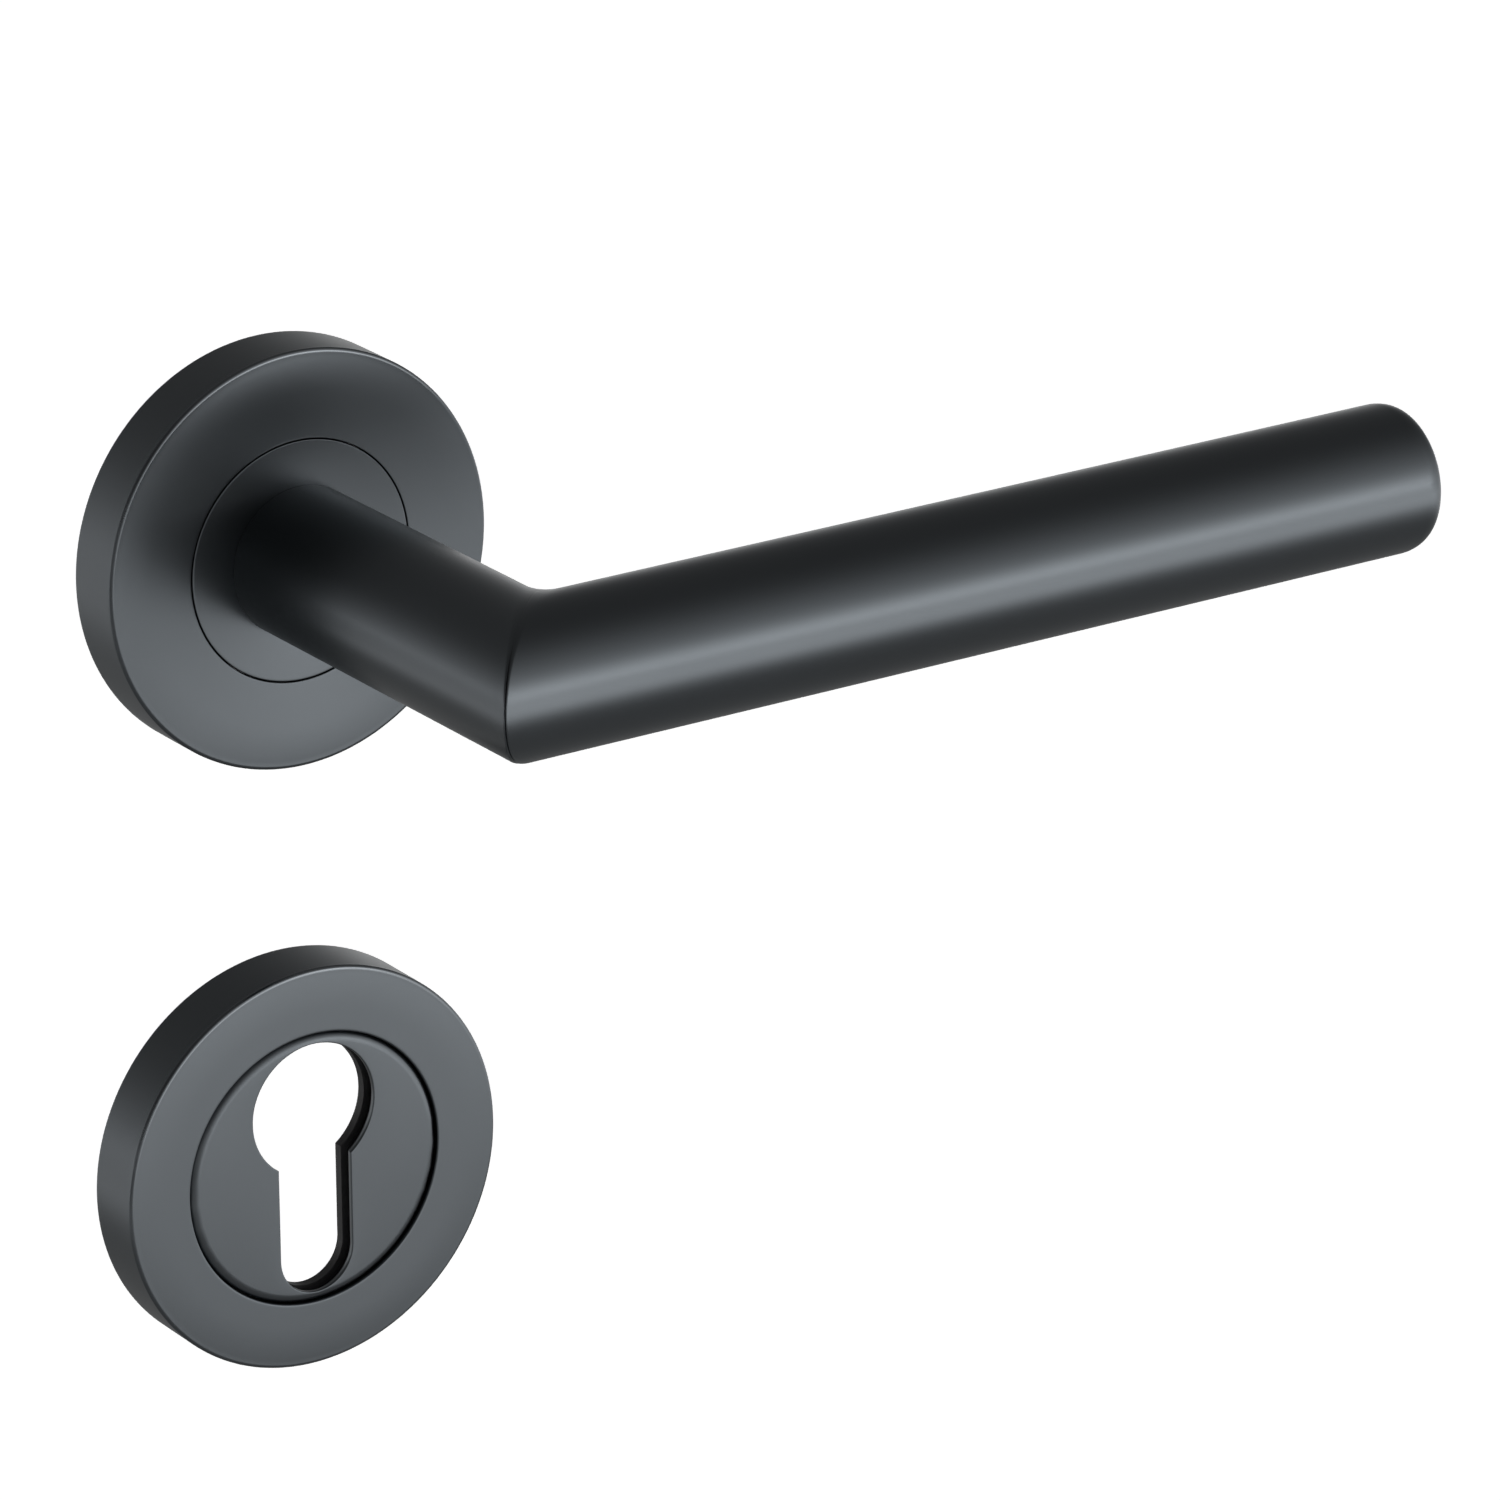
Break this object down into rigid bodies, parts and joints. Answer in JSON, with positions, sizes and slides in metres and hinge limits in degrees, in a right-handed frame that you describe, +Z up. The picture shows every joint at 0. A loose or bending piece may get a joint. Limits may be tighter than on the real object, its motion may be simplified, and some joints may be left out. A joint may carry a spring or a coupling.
{
  "type": "lever handle on rose with profile escutcheon",
  "caption": "Mitred round-bar door lever on a sprung round rose, with a matching round escutcheon for a profile cylinder, in satin black metal.",
  "frame": {"origin": "on the spindle's axis at the door's face, which both bases rest on", "axes": "+X along the grip away from the neck, +Y into the door, +Z up"},
  "size_m": [0.1555, 0.0985, 0.1329],
  "materials": {
    "satin_black": "satin black coated metal with a soft sheen",
    "plated_steel": "zinc plated, lightly dulled",
    "spring_steel": "blackened spring steel",
    "cast_zinc": "bare die-cast zinc, fine grain",
    "black_nylon": "moulded glass-filled nylon"
  },
  "bodies": {
    "door_side": {"rose_cover": "satin_black", "rose_base_plate": "cast_zinc", "rose_snap_ring": "spring_steel", "bearing_bush": "black_nylon", "return_spring": "spring_steel", "stop_pin": "plated_steel", "spring_plate": "plated_steel", "spring_plate_screw_top": "plated_steel", "spring_plate_screw_bottom": "plated_steel", "escutcheon_cover": "satin_black", "escutcheon_base": "black_nylon", "keyhole_plate": "satin_black", "escutcheon_snap_ring": "spring_steel"},
    "lever": {"lever_neck": "satin_black", "lever_grip": "satin_black", "grip_end_plug": "satin_black", "neck_collar": "satin_black", "neck_hub": "plated_steel", "spindle": "plated_steel", "grub_screw": "spring_steel", "spring_driver": "plated_steel", "thrust_washer": "plated_steel", "retaining_ring": "spring_steel"}
  },
  "joints": [
    {"name": "lever_turn", "type": "hinge", "parent": "door_side", "child": "lever", "pos_m": [0, 0, 0], "axis": [0, 1, 0], "range_deg": [0, 45], "stiffness_Nm_per_rad": 1, "springref_deg": -28.65, "deforming": ["return_spring"]}
  ]
}
